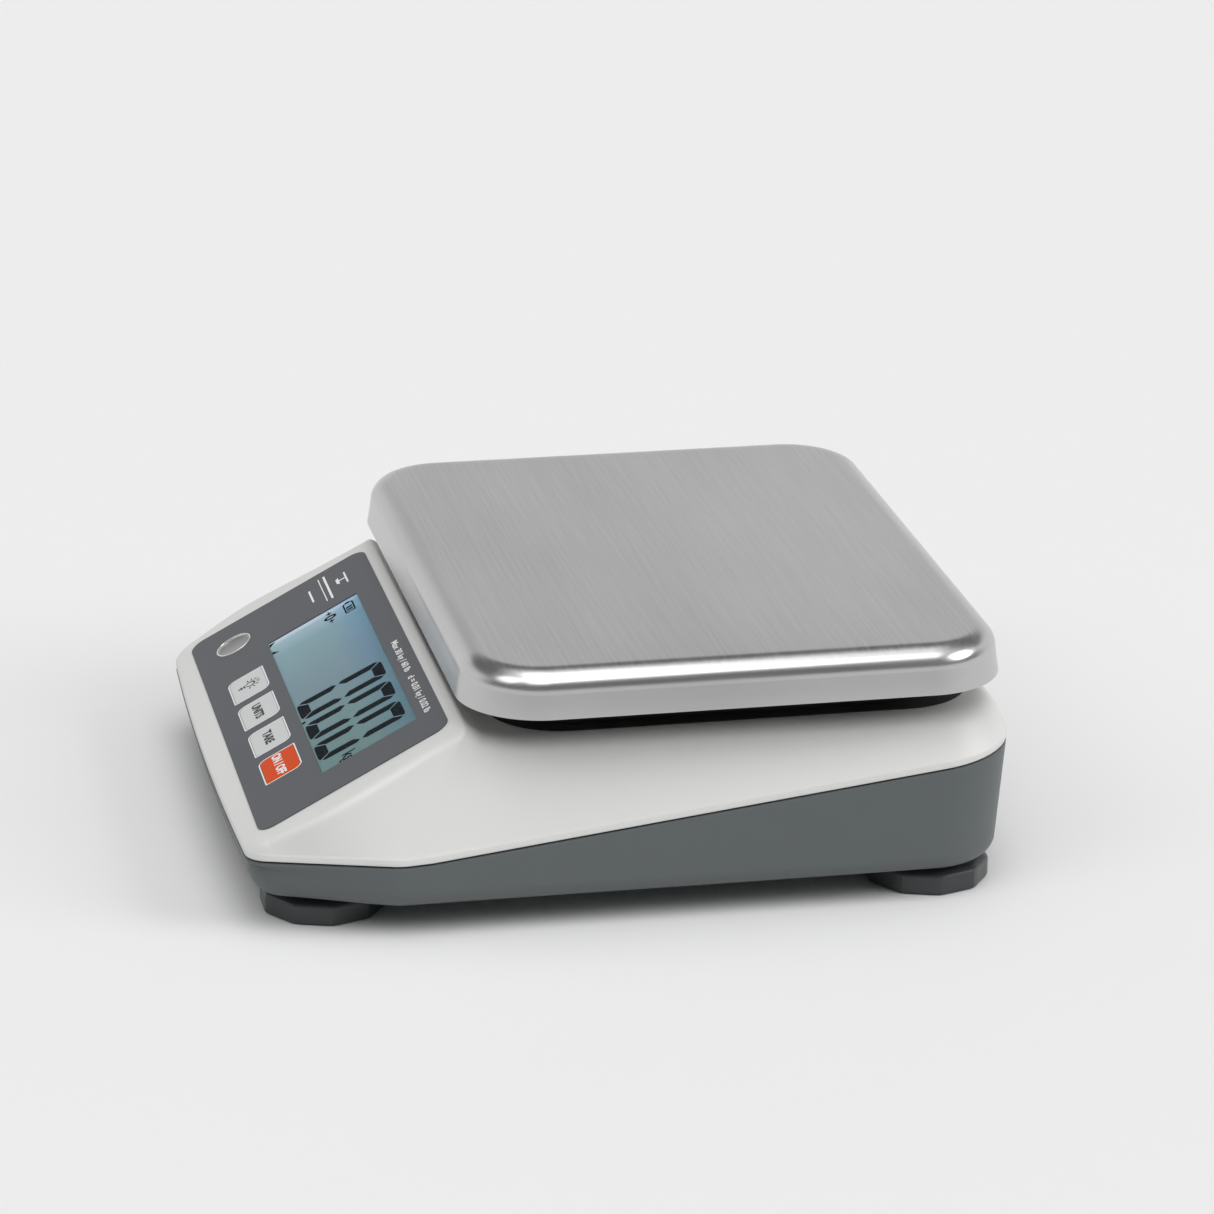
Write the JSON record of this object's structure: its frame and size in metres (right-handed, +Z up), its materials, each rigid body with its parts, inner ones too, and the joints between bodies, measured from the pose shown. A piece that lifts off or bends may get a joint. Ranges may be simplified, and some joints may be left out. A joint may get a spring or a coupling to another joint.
{
  "type": "counting scale",
  "caption": "Low bench weighing scale: flat rectangular pan on a load cell, inclined display panel with keys and spirit level, and screw feet.",
  "frame": {"origin": "middle of the footprint on the table, at the undersides of the feet", "axes": "+X to the reader's right, +Y from the display panel towards the back, +Z up"},
  "size_m": [0.2426, 0.274, 0.0975],
  "materials": {
    "pan_steel": "brushed",
    "cast_alloy": "satin",
    "rubber": "matt",
    "seal": "matt",
    "fastener": "satin",
    "housing_plastic": "fine moulded texture",
    "cover_plastic": "fine moulded texture",
    "overlay_film": "satin print",
    "clear": "clear",
    "display": "liquid crystal display",
    "backlight": "white",
    "black_plastic": "matt",
    "key_grey": "satin print",
    "key_orange": "satin print",
    "circuit_board": "lacquered",
    "white_plastic": "satin",
    "level_liquid": "clear",
    "lead_red": "satin",
    "lead_black": "satin",
    "cable_grey": "satin",
    "brass": "machined",
    "plate": "satin",
    "foot_plastic": "satin"
  },
  "bodies": {
    "root": {"load_cell": "cast_alloy", "cell_base_spacer": "cast_alloy", "gauge_seals": "seal", "cell_base_screws": "fastener", "overload_stops": "fastener", "cover_screws": "fastener", "board_screws": "fastener", "bracket_screws": "fastener", "battery_bracket": "fastener", "socket_nut": "fastener", "level_ring": "fastener", "key_domes": "fastener", "bottom_housing": "housing_plastic", "top_cover": "cover_plastic", "panel_overlay": "overlay_film", "display_window": "clear", "level_lens": "clear", "display_glass": "display", "display_backlight": "backlight", "display_frame": "black_plastic", "board_parts": "black_plastic", "buzzer": "black_plastic", "power_socket": "black_plastic", "battery": "black_plastic", "keypad_board": "circuit_board", "main_board": "circuit_board", "board_sockets": "white_plastic", "level_housing": "white_plastic", "display_ribbon": "white_plastic", "level_fluid": "level_liquid", "battery_leads": "lead_red", "socket_leads": "lead_black", "cell_cable": "cable_grey", "foot_inserts": "brass", "rating_plate": "plate"},
    "platform": {"platform_spider": "cast_alloy", "pan_buffers": "rubber", "cell_top_spacer": "cast_alloy", "cell_top_screws": "fastener"},
    "pan": {"weighing_pan": "pan_steel", "pan_locators": "pan_steel"},
    "door": {"battery_door": "housing_plastic"},
    "key_light": {"key_light": "key_grey"},
    "key_units": {"key_units": "key_grey"},
    "key_tare": {"key_tare": "key_grey"},
    "key_power": {"key_power": "key_orange"},
    "foot_pad_fl": {"pad_fl": "rubber"},
    "foot_knob_fl": {"knob_fl": "foot_plastic", "stud_fl": "fastener"},
    "foot_pad_fr": {"pad_fr": "rubber"},
    "foot_knob_fr": {"knob_fr": "foot_plastic", "stud_fr": "fastener"},
    "foot_pad_rl": {"pad_rl": "rubber"},
    "foot_knob_rl": {"knob_rl": "foot_plastic", "stud_rl": "fastener"},
    "foot_pad_rr": {"pad_rr": "rubber"},
    "foot_knob_rr": {"knob_rr": "foot_plastic", "stud_rr": "fastener"}
  },
  "joints": [
    {"name": "platform_deflection", "type": "slide", "parent": "root", "child": "platform", "axis": [0, 0, 1], "range_m": [-0.0005, 0], "stiffness_N_per_m": 600000, "springref_m": 0.00003, "deforming": ["load_cell"]},
    {"name": "pan_lift", "type": "slide", "parent": "platform", "child": "pan", "axis": [0, 0, 1], "range_m": [0, 0.08]},
    {"name": "battery_door_slide", "type": "slide", "parent": "root", "child": "door", "axis": [-1, 0, 0], "range_m": [0, 0.055]},
    {"name": "key_light_press", "type": "slide", "parent": "root", "child": "key_light", "axis": [0, 0.4741, -0.8805], "range_m": [0, 0.0005], "stiffness_N_per_m": 4000, "springref_m": -0.00005, "deforming": ["key_domes"]},
    {"name": "key_units_press", "type": "slide", "parent": "root", "child": "key_units", "axis": [0, 0.4741, -0.8805], "range_m": [0, 0.0005], "stiffness_N_per_m": 4000, "springref_m": -0.00005},
    {"name": "key_tare_press", "type": "slide", "parent": "root", "child": "key_tare", "axis": [0, 0.4741, -0.8805], "range_m": [0, 0.0005], "stiffness_N_per_m": 4000, "springref_m": -0.00005},
    {"name": "key_power_press", "type": "slide", "parent": "root", "child": "key_power", "axis": [0, 0.4741, -0.8805], "range_m": [0, 0.0005], "stiffness_N_per_m": 4000, "springref_m": -0.00005},
    {"name": "foot_fl_height", "type": "slide", "parent": "root", "child": "foot_pad_fl", "axis": [0, 0, -1], "range_m": [-0.00126, 0.00501]},
    {"name": "foot_fl_turn", "type": "hinge", "parent": "foot_pad_fl", "child": "foot_knob_fl", "pos_m": [-0.074, -0.1047, 0], "axis": [0, 0, -1], "range_deg": [-360, 1440]},
    {"name": "foot_fr_height", "type": "slide", "parent": "root", "child": "foot_pad_fr", "axis": [0, 0, -1], "range_m": [-0.00126, 0.00501]},
    {"name": "foot_fr_turn", "type": "hinge", "parent": "foot_pad_fr", "child": "foot_knob_fr", "pos_m": [0.074, -0.1047, 0], "axis": [0, 0, -1], "range_deg": [-360, 1440]},
    {"name": "foot_rl_height", "type": "slide", "parent": "root", "child": "foot_pad_rl", "axis": [0, 0, -1], "range_m": [-0.00126, 0.00501]},
    {"name": "foot_rl_turn", "type": "hinge", "parent": "foot_pad_rl", "child": "foot_knob_rl", "pos_m": [-0.0858, 0.1101, 0], "axis": [0, 0, -1], "range_deg": [-360, 1440]},
    {"name": "foot_rr_height", "type": "slide", "parent": "root", "child": "foot_pad_rr", "axis": [0, 0, -1], "range_m": [-0.00126, 0.00501]},
    {"name": "foot_rr_turn", "type": "hinge", "parent": "foot_pad_rr", "child": "foot_knob_rr", "pos_m": [0.0858, 0.1101, 0], "axis": [0, 0, -1], "range_deg": [-360, 1440]}
  ],
  "couplings": [
    {"joint": "foot_fl_height", "follows": "foot_fl_turn", "m_per_rad": 0.00019894},
    {"joint": "foot_fr_height", "follows": "foot_fr_turn", "m_per_rad": 0.00019894},
    {"joint": "foot_rl_height", "follows": "foot_rl_turn", "m_per_rad": 0.00019894},
    {"joint": "foot_rr_height", "follows": "foot_rr_turn", "m_per_rad": 0.00019894}
  ]
}
